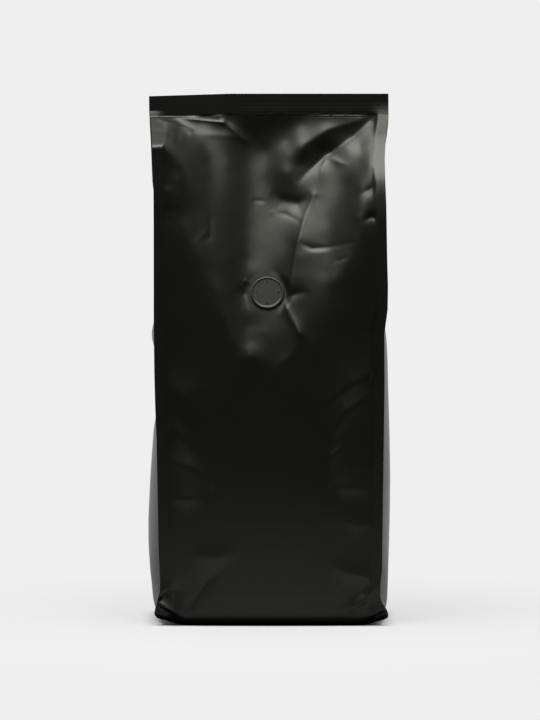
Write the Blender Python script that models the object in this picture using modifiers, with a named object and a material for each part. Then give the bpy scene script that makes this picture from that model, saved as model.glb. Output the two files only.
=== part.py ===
"""A shut coffee bag of black film with four corner seals, side gussets and a degassing valve.

Run it with: blender --background --python part.py

The bag stands on its flat base with its front panel facing -Y and +Z up. The origin is on
the base, under the middle of the bag. All sizes below are in millimetres and become metres
where a mesh is made. "Depth" is how far a surface stands out from the middle plane of the
bag: towards -Y for the front panel and towards +Y for the back panel.
"""

import math

import bmesh
import bpy
import numpy as np
from mathutils import Matrix, Vector
from mathutils.geometry import delaunay_2d_cdt

MM = 0.001

# Whole bag
HEIGHT = 314.0
HEADER_BOTTOM = 302.6
HEADER_DEPTH = 12.0
HEADER_CORNER_DROP = 1.5
HEADER_DROP_START = -23.0
FILM_LAYERS = 0.65
SLIT_HALF_GAP = 0.3
HEADER_FRONT = HEADER_DEPTH + FILM_LAYERS + SLIT_HALF_GAP
HEADER_BACK = -HEADER_DEPTH + FILM_LAYERS + SLIT_HALF_GAP
SEAL_WIDTH = 5.5
GUSSET_FOLDED_WIDTH = 43.5
PANEL_BULGE = 8.0
SEAL_DEPTH_MIDDLE = 43.5

# Corner seals seen from the front: height, then how far out the seal's outer edge stands
SEAL_EDGE = ((0, 58.5), (4, 63), (6, 67), (12, 66.5), (17, 64), (24, 63.4), (42, 64.8), (70, 66.2),
             (200, 67), (262, 67.5), (283, 68.6), (300, 70.6), (304, 71.2), (314, 71.5))
# Corner seals seen from the side: height, then depth
FOOT_DEPTH = ((0, 36), (1.2, 38.5), (3.2, 40.8), (5, 42.6), (7, 43), (12, 42.4), (60, SEAL_DEPTH_MIDDLE))
SEAL_DEPTH_LEFT = FOOT_DEPTH + ((180, 42), (250, 39.5), (283, 34),
                                (302.6, HEADER_FRONT), (314, HEADER_FRONT))
SEAL_DEPTH_RIGHT = FOOT_DEPTH + ((180, 42), (240, 40), (262, 36),
                                 (302.6, HEADER_FRONT), (314, HEADER_FRONT))
SEAL_DEPTH_BACK = FOOT_DEPTH + ((180, 42), (236, 38), (302.6, HEADER_BACK), (314, HEADER_BACK))
# The front panel between its corner seals, if the contents filled it up to the header
FILLED_DEPTH = FOOT_DEPTH + ((180, 42), (250, 39.5), (314, 36))
# Side gussets: height, then how far they bulge out past the root of the corner seals
GUSSET_BULGE = ((0, 1), (6, 4), (20, 7.5), (40, 10.4), (60, 11.2), (100, 10.8), (130, 9.4), (160, 7.4),
                (200, 5), (236, 2.5), (270, 0), (314, 0))
GUSSET_TUCK_START = 190.0
GUSSET_TUCK_END = 290.0
# How full the two panels bulge between their corner seals, up the height
BULGE_PROFILE = ((0, 0), (4, 0.1), (20, 0.55), (60, 1), (150, 1), (220, 0.8), (280, 0.3), (302.6, 0))

# The slack film of the front panel, as creased points (x, height, depth). Their outline is a
# tall V: its lower tip is a little under the valve, and its arms end at the corner seals.
SLACK_POINTS = {
    "shoulder left": (-58, 291, 29.5),
    "shoulder mid": (-46.6, 291, 28.5),
    "left peak": (-26.5, 297, 17),
    "left facet foot": (-14.8, 285.7, 15),
    "bowl foot": (-4, 279.2, 12.8),
    "bowl foot right": (3.5, 282.7, 12.2),
    "bowl left": (-10, 297, 12.4),
    "bowl right": (21, 296.3, 13),
    "roll crest top": (55, 300.5, 15),
    "roll crest mid": (36, 291, 22.5),
    "roll crest low": (20, 279, 21.8),
    "roll crest end": (13, 270, 20.2),
    "roll valley top": (62, 298, 15.5),
    "roll valley mid": (48, 286, 22.8),
    "roll corner": (33.6, 276.8, 20.6),
    "roll valley low": (25, 266, 20.8),
    "roll valley end": (14, 262, 21),
    "right facet": (45, 272.7, 27.5),
    "right facet edge": (56, 280, 26.5),
    "crescent crest left": (2, 256, 20.6),
    "crescent crest": (12, 257.5, 22.4),
    "crescent valley": (13, 250, 22.2),
    "ridge top": (26.5, 253.2, 25.4),
    "ridge side": (29, 258, 24),
    "ridge mid": (16.5, 223.7, 34.6),
    "ridge low": (10.5, 193.8, 42.2),
    "middle high": (-6, 243, 22.4),
    "middle": (0, 224, 30),
    "middle left": (-14, 240, 26.5),
    "left panel": (-30, 250, 32),
    "pleat left": (33, 222, 38),
    "pleat right": (49, 226, 46),
    "right panel": (42, 250, 34),
    "valve left": (-14, 197, 41.5),
    "valve under": (2, 172, 46.8),
}
# Where the V of slack film leaves the filled, upright part of the panel: x and height
SLACK_EDGE = ((-72, 285), (-62, 284), (-55, 281), (-50, 252), (-46.6, 227), (-37.8, 212), (-21.8, 191),
              (-18.3, 174), (-11, 157), (-3, 160), (4.7, 153), (14, 161), (24, 174), (36, 196),
              (47.8, 221), (57, 243), (63, 260), (72, 262))
HEADER_FOOT_X = (-72, -50, -38, -26, -8, 8, 24, 40, 56, 72)
CREASE_RADIUS = 2.4

# The back panel's slack film: where it starts in the middle and at the edge
BACK_SLACK_LOW = 176.0
BACK_SLACK_HIGH = 238.0
BACK_BEND_RADIUS = 14.0

# Degassing valve
VALVE_X = -0.9
VALVE_HEIGHT = 195.8
VALVE_DEPTH = 40.0
VALVE_SLOPE = 0.31
VALVE_RADIUS = 9.7
VALVE_RIM_HEIGHT = 1.3
VALVE_RIM_WIDTH = 1.2
VALVE_FACE_HEIGHT = 0.9
VALVE_SEAT_RADIUS = 14.5
VALVE_SEAT_BLEND = 6.0
VALVE_SIDES = 48
VENT_COUNT = 4
VENT_CIRCLE = 6.5
VENT_RADIUS = 0.45
VENT_DEPTH = 0.6
PART_GAP = 0.3

# How finely the loft is divided
FRONT_COLUMNS = 32
BACK_COLUMNS = 14
GUSSET_COLUMNS = 8
FOOT_LEVELS = (0, 1.2, 3.2, 5, 7, 10, 14)
BODY_LEVELS = 45
HEADER_LEVELS = (303.3, 308.5, 314)


def between(z, table, radius=0.0):
    """The table's value at height z, with its corners rounded over the radius."""
    heights, values = np.array(table, float).T
    spread = np.linspace(-1, 1, 7)
    return np.mean([np.interp(z + radius * share, heights, values) for share in spread], axis=0)


def smooth_step(value, low, high):
    t = np.clip((value - low) / (high - low), 0, 1)
    return t * t * (3 - 2 * t)


def seal_depth(z, side):
    """Depth of the front corner seals: side runs from -1 at the left one to 1 at the right one."""
    share = (np.asarray(side) + 1) / 2
    radius = 4.0 * smooth_step(z, 14, 60) * (1 - smooth_step(z, 290, 300))
    left = between(z, SEAL_DEPTH_LEFT, radius)
    right = between(z, SEAL_DEPTH_RIGHT, radius)
    return left * (1 - share) + right * share


def back_seal_depth(z):
    radius = 6.0 * smooth_step(z, 14, 60) * (1 - smooth_step(z, 290, 300))
    return between(z, SEAL_DEPTH_BACK, radius)


def seal_root(z):
    return between(z, SEAL_EDGE) - SEAL_WIDTH * smooth_step(z, -2, 6)


def filled_depth(x, z):
    """Depth of the front panel as if the contents filled it up to the header."""
    side = np.clip(x / seal_root(z), -1, 1)
    upright = between(z, FILLED_DEPTH)
    bulge = PANEL_BULGE * between(z, BULGE_PROFILE)
    return upright + bulge * (1 - np.abs(side) ** 2.6)


class SlackFilm:
    """The creased points of the slack film, joined by triangles, with their creases rounded."""

    def __init__(self):
        places = [(x, z) for x, z, _ in SLACK_POINTS.values()]
        depths = [depth for _, _, depth in SLACK_POINTS.values()]
        for x, z in SLACK_EDGE:
            places.append((x, z))
            depths.append(float(filled_depth(x, z)) if abs(x) < 64 else float(seal_depth(z, np.sign(x))))
        for x in HEADER_FOOT_X:
            places.append((x, HEADER_BOTTOM))
            depths.append(HEADER_FRONT)
        result = delaunay_2d_cdt([Vector(place) for place in places], [], [], 0, 1e-6)
        order = [sources[0] for sources in result[3]]
        self.places = np.array(places)[order]
        self.cuts = np.array(depths)[order]
        self.cuts = filled_depth(self.places[:, 0], self.places[:, 1]) - self.cuts
        edge_x, edge_z = np.array(SLACK_EDGE, float).T
        self.triangles = []
        for face in result[2]:
            middle = self.places[list(face)].mean(axis=0)
            if middle[1] > np.interp(middle[0], edge_x, edge_z):
                self.triangles.append(list(face))

    def cut_at(self, x, z):
        """How far the slack film lies behind the filled depth."""
        cut = np.zeros_like(x)
        for face in self.triangles:
            a, b, c = self.places[face]
            area = (b[0] - a[0]) * (c[1] - a[1]) - (c[0] - a[0]) * (b[1] - a[1])
            v = ((x - a[0]) * (c[1] - a[1]) - (c[0] - a[0]) * (z - a[1])) / area
            w = ((b[0] - a[0]) * (z - a[1]) - (x - a[0]) * (b[1] - a[1])) / area
            u = 1 - v - w
            inside = (u >= -1e-9) & (v >= -1e-9) & (w >= -1e-9)
            value = u * self.cuts[face[0]] + v * self.cuts[face[1]] + w * self.cuts[face[2]]
            cut = np.where(inside, value, cut)
        return cut

    def rounded_cut(self, x, z):
        ceiling = HEADER_BOTTOM - 0.01
        total = self.cut_at(x, np.minimum(z, ceiling)) * 2
        for radius in (CREASE_RADIUS / 2, CREASE_RADIUS):
            for angle in np.arange(8) * math.pi / 4:
                reach = np.minimum(radius, np.maximum(HEADER_BOTTOM - z, 0))
                near_x = np.clip(x + reach * math.cos(angle), -71.9, 71.9)
                near_z = np.minimum(z + reach * math.sin(angle), ceiling)
                total = total + self.cut_at(near_x, near_z)
        return total / 18


def gusset_shape(z, front, back):
    """Where the gusset's middle crease lies: how far in from the root of the seals, and its y."""
    half_span = (front + back) / 2
    folded = np.sqrt(np.maximum(GUSSET_FOLDED_WIDTH ** 2 - half_span ** 2, 0))
    tuck = folded * smooth_step(z, GUSSET_TUCK_START, GUSSET_TUCK_END)
    return tuck, (back - front) / 2


def front_depth(film, x, z):
    side = np.clip(x / seal_root(z), -1, 1)
    z = np.minimum(z, HEADER_BOTTOM)
    depth = filled_depth(x, z) - film.rounded_cut(x, z)
    # Close to the corner seals the panel runs into their line
    seal = seal_depth(z, side)
    share = smooth_step(np.abs(side), 0.9, 1.0)
    depth = depth * (1 - share) + seal * share
    # The film lies flat under the valve
    distance = np.hypot(x - VALVE_X, z - VALVE_HEIGHT)
    seat = VALVE_DEPTH - VALVE_SLOPE * (z - VALVE_HEIGHT)
    seat_share = 1 - smooth_step(distance, VALVE_SEAT_RADIUS, VALVE_SEAT_RADIUS + VALVE_SEAT_BLEND)
    depth = depth * (1 - seat_share) + seat * seat_share
    return clear_of_gusset(depth, x, z, seal_depth(z, np.sign(x)), back_seal_depth(z), -1)


def back_depth(x, z):
    """Depth of the back panel: bulged below, and leaning in above a shallow V."""
    side = np.clip(x / seal_root(z), -1, 1)
    z = np.minimum(z, HEADER_BOTTOM)
    bulge = PANEL_BULGE * between(z, BULGE_PROFILE) * (1 - np.abs(side) ** 2.6)
    start = BACK_SLACK_LOW + (BACK_SLACK_HIGH - BACK_SLACK_LOW) * np.abs(side) ** 1.2
    top = HEADER_BACK
    upright = SEAL_DEPTH_MIDDLE + bulge
    slope = (upright - top) / (HEADER_BOTTOM - start)
    past = z - start
    lean = slope * (past + np.sqrt(past ** 2 + BACK_BEND_RADIUS ** 2)) / 2
    at_top = slope * (HEADER_BOTTOM - start + np.hypot(HEADER_BOTTOM - start, BACK_BEND_RADIUS)) / 2
    leaning = upright - lean * (upright - top) / at_top
    mixed = smooth_step(z, 30, 60)
    depth = (back_seal_depth(z) + bulge) * (1 - mixed) + leaning * mixed
    share = smooth_step(np.abs(side), 0.86, 1.0)
    depth = depth * (1 - share) + back_seal_depth(z) * share
    return clear_of_gusset(depth, x, z, seal_depth(z, np.sign(x)), back_seal_depth(z), 1)


def clear_of_gusset(depth, x, z, front, back, facing):
    """Keeps a panel one layer outside the folded gusset behind it, near the top of the bag."""
    tuck, crease_y = gusset_shape(z, front, back)
    root = seal_root(z)
    along = np.clip((np.abs(x) - (root - tuck)) / np.maximum(tuck, 1), 0, 1)
    seal = front if facing < 0 else back
    wing = facing * crease_y * (1 - along) + (seal - FILM_LAYERS) * along
    folded = (tuck > 12) & (np.abs(x) >= root - tuck - 3)
    return np.where(folded, np.maximum(depth, wing + FILM_LAYERS), depth)


def gusset_run(z, side):
    """The gusset from the front seal's root to the back one's, on the side -1 or 1."""
    front = float(seal_depth(z, side))
    back = float(back_seal_depth(z))
    tuck, crease_y = gusset_shape(z, front, back)
    bulge = between(z, GUSSET_BULGE)
    share = np.linspace(-1, 1, GUSSET_COLUMNS + 1)
    near = crease_y - (crease_y + front - FILM_LAYERS) * np.abs(share)
    far = crease_y + (back - FILM_LAYERS - crease_y) * np.abs(share)
    y = np.where(share < 0, near, far)
    out = bulge * (1 - np.abs(share) ** 2.2) - tuck * (1 - np.abs(share))
    return side * (seal_root(z) + out), y


def ring_at(film, z):
    """The bag's outline at height z, anticlockwise seen from above, from the left front seal."""
    root = float(seal_root(z))
    edge = float(between(z, SEAL_EDGE))
    back = float(back_seal_depth(z))
    front_x = np.linspace(-root, root, FRONT_COLUMNS + 1)
    front_y = -front_depth(film, front_x, np.full_like(front_x, z))
    back_x = np.linspace(root, -root, BACK_COLUMNS + 1)
    back_y = back_depth(back_x, np.full_like(back_x, z))
    points = list(zip(front_x, front_y))
    front = -front_y[-1]
    points += [(edge, -front), (edge, -front + FILM_LAYERS)]
    points += list(zip(*gusset_run(z, 1)))
    points += [(edge, back - FILM_LAYERS), (edge, back)]
    points += list(zip(back_x, back_y))
    front = -front_y[0]
    points += [(-edge, back), (-edge, back - FILM_LAYERS)]
    left_x, left_y = gusset_run(z, -1)
    points += list(zip(left_x[::-1], left_y[::-1]))
    points += [(-edge, -front + FILM_LAYERS), (-edge, -front)]
    return points


def header_top(x):
    """The cut top edge, which drops a little towards the left corner."""
    drop = np.clip((HEADER_DROP_START - x) / (HEADER_DROP_START + 71.5), 0, 1)
    return HEIGHT - HEADER_CORNER_DROP * drop


def cap_faces(points, extra, wanted):
    """Triangles that fill an outline, using the extra inner points and the wanted inner edges."""
    count = len(points)
    flat = [Vector(point) for point in list(points) + list(extra)]
    result = delaunay_2d_cdt(flat, wanted, [list(range(count))], 1, 1e-7)
    order = [sources[0] for sources in result[3]]
    return [[order[index] for index in face] for face in result[2]]


def bag_levels():
    body = np.linspace(FOOT_LEVELS[-1], HEADER_BOTTOM, BODY_LEVELS + 1)[1:]
    return list(FOOT_LEVELS) + list(body) + list(HEADER_LEVELS)


def bag_body():
    film = SlackFilm()
    bm = bmesh.new()
    rows = []
    outlines = []
    for level in bag_levels():
        outline = ring_at(film, level)
        above = max(level - HEADER_BOTTOM, 0) / (HEIGHT - HEADER_BOTTOM)
        row = []
        for x, y in outline:
            height = level + (float(header_top(x)) - HEIGHT) * above
            row.append(bm.verts.new(Vector((x, y, height)) * MM))
        rows.append(row)
        outlines.append(outline)
    count = len(rows[0])
    for lower, upper in zip(rows, rows[1:]):
        for k in range(count):
            n = (k + 1) % count
            bm.faces.new((lower[k], lower[n], upper[n], upper[k]))
    # The base holds one large triangle round the origin, which the bag stands on
    plate = [(-48, -28), (48, -28), (48, 28), (0, 28), (-48, 28)]
    inner = [bm.verts.new(Vector((x, y, 0)) * MM) for x, y in plate]
    wanted = [(count, count + 1), (count + 1, count + 3), (count + 3, count)]
    for face in cap_faces(outlines[0], plate, wanted):
        bm.faces.new([(rows[0] + inner)[index] for index in face])
    for face in cap_faces(outlines[-1], [], []):
        bm.faces.new([rows[-1][index] for index in face])
    bmesh.ops.recalc_face_normals(bm, faces=bm.faces)
    bmesh.ops.triangulate(bm, faces=bm.faces)
    mesh = bpy.data.meshes.new("bag_body")
    bm.to_mesh(mesh)
    bm.free()
    body = bpy.data.objects.new("bag_body", mesh)
    mesh.shade_smooth()
    mesh.set_sharp_from_angle(angle=math.radians(35))
    body.data.materials.append(film_material())
    return body


def valve_frame(lift):
    """Places a part on the valve's seat, its own +Z along the seat's outward normal."""
    tilt = math.atan(VALVE_SLOPE)
    outward = Vector((0, -math.cos(tilt), math.sin(tilt)))
    place = Vector((VALVE_X, -VALVE_DEPTH, VALVE_HEIGHT)) + outward * lift
    return Matrix.Translation(place * MM) @ Matrix.Rotation(math.pi / 2 - tilt, 4, "X")


def degassing_valve():
    inner = VALVE_RADIUS - VALVE_RIM_WIDTH
    profile = [(0, VALVE_FACE_HEIGHT), (inner - 0.4, VALVE_FACE_HEIGHT), (inner, VALVE_FACE_HEIGHT + 0.1)]
    for step in range(5):
        angle = math.pi * (1 - step / 4)
        middle = VALVE_RADIUS - VALVE_RIM_WIDTH / 2
        rise = VALVE_RIM_HEIGHT - VALVE_FACE_HEIGHT - 0.15
        profile.append((middle + math.cos(angle) * VALVE_RIM_WIDTH / 2,
                        VALVE_FACE_HEIGHT + 0.15 + math.sin(angle) * rise))
    profile += [(VALVE_RADIUS, 0.3), (VALVE_RADIUS - 0.3, 0), (0, 0)]
    mesh = bpy.data.meshes.new("degassing_valve")
    points = [Vector((radius, 0, height)) * MM for radius, height in profile]
    edges = [(k, k + 1) for k in range(len(points) - 1)]
    mesh.from_pydata(points, edges, [])
    valve = bpy.data.objects.new("degassing_valve", mesh)
    valve.matrix_world = valve_frame(PART_GAP)
    screw = valve.modifiers.new("turn", "SCREW")
    screw.steps = VALVE_SIDES
    screw.render_steps = VALVE_SIDES
    screw.use_merge_vertices = True
    screw.merge_threshold = 0.00001
    screw.use_normal_calculate = True
    valve.data.materials.append(valve_material())
    return valve


def vent_cutters(valve):
    """Small blind holes on a circle round the valve's face."""
    cutters = []
    for k in range(VENT_COUNT):
        angle = k * 2 * math.pi / VENT_COUNT
        place = Vector((math.cos(angle), math.sin(angle), 0)) * VENT_CIRCLE
        place.z = VALVE_FACE_HEIGHT - VENT_DEPTH / 2 + 0.5
        mesh = bpy.data.meshes.new(f"vent_{k}")
        bm = bmesh.new()
        bmesh.ops.create_cone(bm, cap_ends=True, segments=10, radius1=VENT_RADIUS * MM,
                              radius2=VENT_RADIUS * MM, depth=(VENT_DEPTH + 1.0) * MM)
        bm.to_mesh(mesh)
        bm.free()
        cutter = bpy.data.objects.new(f"vent_{k}", mesh)
        cutter.matrix_world = valve_frame(PART_GAP) @ Matrix.Translation(place * MM)
        cutter.hide_render = True
        cutter.display_type = "WIRE"
        cut = valve.modifiers.new(f"vent {k}", "BOOLEAN")
        cut.operation = "DIFFERENCE"
        cut.object = cutter
        cutters.append(cutter)
    return cutters


def principled(name, colour, roughness):
    material = bpy.data.materials.new(name)
    material.use_nodes = True
    shader = material.node_tree.nodes["Principled BSDF"]
    shader.inputs["Base Color"].default_value = (*colour, 1)
    shader.inputs["Roughness"].default_value = roughness
    shader.inputs["Metallic"].default_value = 0
    return material


def film_material():
    return principled("black satin film", (0.014, 0.014, 0.013), 0.42)


def valve_material():
    return principled("black valve plastic", (0.02, 0.02, 0.019), 0.4)


def main():
    for old in list(bpy.data.objects):
        bpy.data.objects.remove(old, do_unlink=True)
    parts = bpy.data.collections.new("coffee_bag")
    tools = bpy.data.collections.new("cutters")
    for collection in (parts, tools):
        bpy.context.scene.collection.children.link(collection)
    valve = degassing_valve()
    for part in (bag_body(), valve):
        parts.objects.link(part)
    for cutter in vent_cutters(valve):
        tools.objects.link(cutter)


main()
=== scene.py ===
"""Looks of a shut coffee bag: black satin film with its folds, the valve, the floor and the light.

The film's sizes below are in millimetres, measured on the bag's front panel: x to the right from
its middle line, height up from the floor, and depth out from the bag's middle plane.
"""

import math

import bmesh
import bpy
import numpy as np
from bpy.props import FloatProperty, FloatVectorProperty, PointerProperty
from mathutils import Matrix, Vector
from mathutils.geometry import delaunay_2d_cdt


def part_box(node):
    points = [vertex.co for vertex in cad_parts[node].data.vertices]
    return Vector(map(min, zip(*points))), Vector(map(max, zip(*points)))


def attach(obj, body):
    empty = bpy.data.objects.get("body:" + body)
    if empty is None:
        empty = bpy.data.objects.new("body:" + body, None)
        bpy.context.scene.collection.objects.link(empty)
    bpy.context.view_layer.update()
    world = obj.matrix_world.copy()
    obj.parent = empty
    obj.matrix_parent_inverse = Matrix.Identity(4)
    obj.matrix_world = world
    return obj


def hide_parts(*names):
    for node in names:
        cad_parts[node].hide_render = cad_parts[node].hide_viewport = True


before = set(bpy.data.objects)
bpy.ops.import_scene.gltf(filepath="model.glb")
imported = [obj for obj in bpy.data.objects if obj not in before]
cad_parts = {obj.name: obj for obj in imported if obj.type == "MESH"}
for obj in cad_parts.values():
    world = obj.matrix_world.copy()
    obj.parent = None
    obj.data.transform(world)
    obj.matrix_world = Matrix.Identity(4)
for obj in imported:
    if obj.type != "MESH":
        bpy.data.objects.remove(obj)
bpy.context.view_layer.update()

bl_info = {
    "name": "Coffee Bag Film",
    "version": (1, 0, 0),
    "blender": (4, 5, 0),
    "location": "3D View > Sidebar > Coffee Bag",
    "description": "Builds the creased film, the valve and the studio round a packed coffee bag",
    "category": "Object",
}

MM = 0.001
BODY_HIGH = np.array(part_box("bag_body")[1]) / MM
VALVE_LOW, VALVE_HIGH = (np.array(corner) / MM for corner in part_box("degassing_valve"))

# The bag's outline
HEIGHT = float(BODY_HIGH[2])
HEADER_BOTTOM = HEIGHT - 11.4
HEADER_DEPTH = 12.0
HEADER_CORNER = 71.1
HEADER_CORNER_DROP = 1.5
HEADER_DROP_START = -23.0
HEADER_FOOT_DIP = 1.9
HEADER_FOOT_DIP_RUN = 40.0
HEADER_RIBS = ((310.4, 0.04), (307.4, 0.06), (305.6, 0.09), (304.5, 0.06), (303.6, 0.1))
HEADER_RIB_WIDTH = 0.32
HEADER_RIB_SPAN = (-24, -8, 60, 68)
LAYER = 0.42
SLIT_HALF_GAP = 0.12
FOLD_GAP = 0.1
HEADER_FRONT = HEADER_DEPTH + LAYER + SLIT_HALF_GAP
HEADER_BACK = -HEADER_DEPTH + LAYER + SLIT_HALF_GAP
SEAL_WIDTH = 5.2
GUSSET_FOLDED_WIDTH = 43.5
PANEL_BULGE = 8.0
PANEL_ROUNDNESS = 2.0
GUSSET_ROUNDNESS = 2.2
SEAL_DEPTH_MIDDLE = 43.5

# The top band's lower corners lean back: how far, between which x, from which height and how far down
LEAN_RIGHT = 2.4
LEAN_RIGHT_SIDE = (58, 67)
LEAN_RIGHT_TOP = 309
LEAN_RIGHT_RUN = 9
LEAN_RIGHT_POWER = 1.6
LEAN_LEFT = 1.2
LEAN_LEFT_SIDE = (60, 68)
LEAN_LEFT_TOP = 304
LEAN_LEFT_RUN = 3.4

# The crinkled line under the top band: waves by rate and start, spans by the x where they fade in and out
HEM_WAVES = ((0.71, 0), (1.37, 1.1), (2.9, 0.4))
HEM_SPAN = (-20, -10, 56, 62)
HEM_RISE = 0.12
HEM_WOBBLE = 0.1
HEM_DROP = 0.7
HEM_WANDER = 0.12
HEM_WANDER_RATE = 0.9
HEM_WIDTH = 0.4
FINE_FOLD_SPAN = (24, 34, 54, 62)
FINE_FOLD_START = (0.4, 1)
FINE_FOLD_RISE = 0.3
FINE_FOLD_REACH = 1.6
FINE_FOLD_RATE = 4.4

# Corner seals seen from the front: height, then how far out the seal's outer edge stands
SEAL_EDGE_LEFT = ((0, 65.4), (1.5, 66.4), (4.5, 67.5), (9, 67), (14, 65.8), (20, 64.2), (26, 63.9),
                  (45, 64.8), (75, 65.3), (110, 66), (130, 66.8), (150, 67.3), (180, 67.6), (240, 67.6),
                  (262, 67.7), (283, 68.5), (295, 69.6), (302, 71.1), (314, 71.2))
SEAL_EDGE_RIGHT = ((0, 67), (1, 69), (2.6, 70.4), (6, 70.2), (9, 69.4), (13, 67), (17, 65.6), (25, 65.6),
                   (33, 66.6), (75, 67.1), (140, 68), (172, 67.9), (186, 69.8), (200, 70), (213, 69.6),
                   (248, 69), (262, 68.5), (275, 68.4), (286, 69.2), (302, 71), (314, 71.1))
SEAL_EDGE_BACK_LEFT = ((0, 62), (12, 65), (60, 66), (200, 67.5), (250, 69), (262, 70.2), (286, 70.6),
                       (302, 71.1), (314, 71.2))
SEAL_EDGE_BACK_RIGHT = ((0, 62), (12, 65), (60, 66.5), (200, 68), (262, 69), (280, 69.3), (291.5, 70.7),
                        (298, 71.2), (314, 71.1))
# Corner seals seen from the side: height, then depth
FOOT_DEPTH = ((0, 38.8), (1, 40.6), (2.4, 41.8), (5, 42.6), (9, 43), (18, 43.3), (60, SEAL_DEPTH_MIDDLE))
SEAL_DEPTH_LEFT = FOOT_DEPTH + ((180, 42.4), (250, 42), (281.6, 41.2), (284, 38.8), (301, 13.6),
                                (302.6, HEADER_FRONT), (314, HEADER_FRONT))
SEAL_DEPTH_RIGHT = FOOT_DEPTH + ((180, 42.4), (240, 41.8), (250, 40.6), (258, 38.8), (266, 35.6),
                                 (286, 21.2), (302.6, 13.8), (314, HEADER_FRONT))
SEAL_DEPTH_BACK = FOOT_DEPTH + ((180, 42), (236, 38), (302.6, HEADER_BACK), (314, HEADER_BACK))
FILLED_DEPTH = FOOT_DEPTH + ((180, 42.4), (262, 41.4), (314, 38))
# Side gussets: height, then how far out the gusset's middle stands where it isn't folded in
GUSSET_EDGE_LEFT = ((0, 61), (2, 65), (6, 68), (12, 69.3), (23, 70.3), (30, 71.1), (45, 72.1), (60, 72.2),
                    (73, 71.6), (87, 70.9), (101, 69.9), (115, 68.9), (125, 67), (135, 65.5), (156, 65.8),
                    (164, 69), (171, 70.3), (178, 69), (186, 65.5), (236, 62.5), (290, 65.9), (314, 65.9))
GUSSET_EDGE_RIGHT = ((0, 62), (2, 66.5), (6, 70), (12, 71), (25, 71.4), (45, 72), (60, 72.4), (85, 72.7),
                     (110, 72.3), (140, 71.4), (157, 71), (168, 70.4), (178, 69), (188, 66), (236, 62.5),
                     (290, 65.9), (314, 65.9))
GUSSET_BEND_RADIUS = 3
GUSSET_BEND_SPAN = (3, 12)
GUSSET_TUCK_START = 190.0
GUSSET_TUCK_END = 290.0
BULGE_PROFILE = ((0, 0.36), (6, 0.46), (20, 0.6), (60, 0.8), (110, 0.94), (160, 0.95), (220, 0.8),
                 (280, 0.3), (302.6, 0))

# The slack film of the front panel falls back from the filled part to the header. Each line runs
# down the panel at one x, and gives height and depth.
SLACK_FALL = {
    -61: ((297, 20), (290, 30), (285.4, 37), (282, 40.4), (270, 41.4), (258, 42)),
    -53: ((300.6, 12.6), (296, 16.6), (291, 21.6), (286, 27.4), (280, 34.2), (272, 39.2), (262, 41.6),
          (250, 43)),
    -38: ((298.6, 12.8), (294, 14.6), (289, 16.8), (282, 20), (272, 24.7), (262, 29.3), (253, 33.1),
          (244, 36.5), (234, 39.9), (225, 42.7)),
    -24: ((297.6, 12.6), (289, 15), (282, 16.8), (272, 20), (262, 23.5), (253, 26.8), (244, 30),
          (234, 33.5), (225, 36.6), (215, 40), (196, 45)),
    -13: ((296, 12.2), (289, 12), (282, 12.8), (272, 15.5), (262, 18.9), (253, 21.9), (244, 24.9),
          (234, 28.2), (225, 31.2), (215, 34.4)),
    -10: ((178, 44.9), (168, 47.4), (160, 49.6)),
    -3: ((295, 12), (287, 11.8), (280, 12.2), (272, 14.6), (262, 17.6), (253, 20.4), (244, 23.6),
         (234, 27.2), (225, 30.4), (216, 33.5), (173, 46.8), (164, 48.8)),
    11: ((293, 12.4), (286, 14), (277, 17.8), (267, 20.8), (253, 23.2), (244, 25.8), (234, 29.6),
         (225, 32.8), (215, 36.2), (205, 39.4), (178, 45.9), (168, 48)),
    19: ((297, 12.7), (291, 14.6), (282, 18), (272, 19), (262, 21.6), (252, 24.6), (239, 30), (228, 34.6),
         (217, 38.4), (205, 41.8), (197, 43.6), (188, 45.4), (178, 47.6)),
    33: ((298, 13.2), (292, 15), (288, 15.8), (279, 16.6), (267, 21), (253, 26.2), (239, 31.6), (227, 36),
         (217, 39.6), (208, 42.6), (198, 45.6)),
    47: ((298, 13.2), (289, 15.4), (282, 19), (267, 25.6), (259, 29.2), (253, 32.2), (246, 35.4),
         (239, 38.2), (228, 41.6), (220, 43.4)),
    54: ((298, 13.4), (291, 15.6), (281.6, 20.4), (272, 26.8), (265, 31.4), (259, 35), (253, 37.6),
         (247, 39.8), (240, 42)),
    61: ((298, 13.6), (292, 17), (286, 20.8), (277, 27.4), (271, 31.6), (265, 35), (259, 37.6),
         (250, 40.4)),
}
# The sheet also passes through points at the top band's foot, on the seals and round the valve's seat
HEADER_ANCHORS = np.linspace(-60, 60, 9)
SEAL_ANCHORS = (302, 294, 284, 272, 258, 244)
SHEET_SCALE = 100
SEAT_RING = 12.4
SEAT_RING_ANGLES = (60, 90, 125, 160, 195, 230, 265, 295)

# Where the V of slack film meets the filled, upright part of the panel: x, height, and how steeply the
# sheet runs on outwards below it
SLACK_EDGE = ((-62, 264, 0.3), (-53, 243, 0.3), (-46, 228, 0.25), (-38, 209, 0.2), (-31, 197, 0.18),
              (-24, 178.5, 0.16), (-17, 162, 0.16), (-11, 156, 0.3), (-3, 157, 0.22), (5, 154, 0.15),
              (12, 159.6, 0.2), (18, 168, 0.32), (25, 171, 0.2), (33, 187, 0.08), (40, 203, 0.08),
              (47, 214, 0.1), (54, 231, 0.15), (61, 240, 0.25))
EDGE_REACH = 14.0
EDGE_ROUNDING = 0.35
EDGE_ROUNDING_HIGH = 1.5
EDGE_ROUNDING_BLEND = (164, 200)

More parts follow.
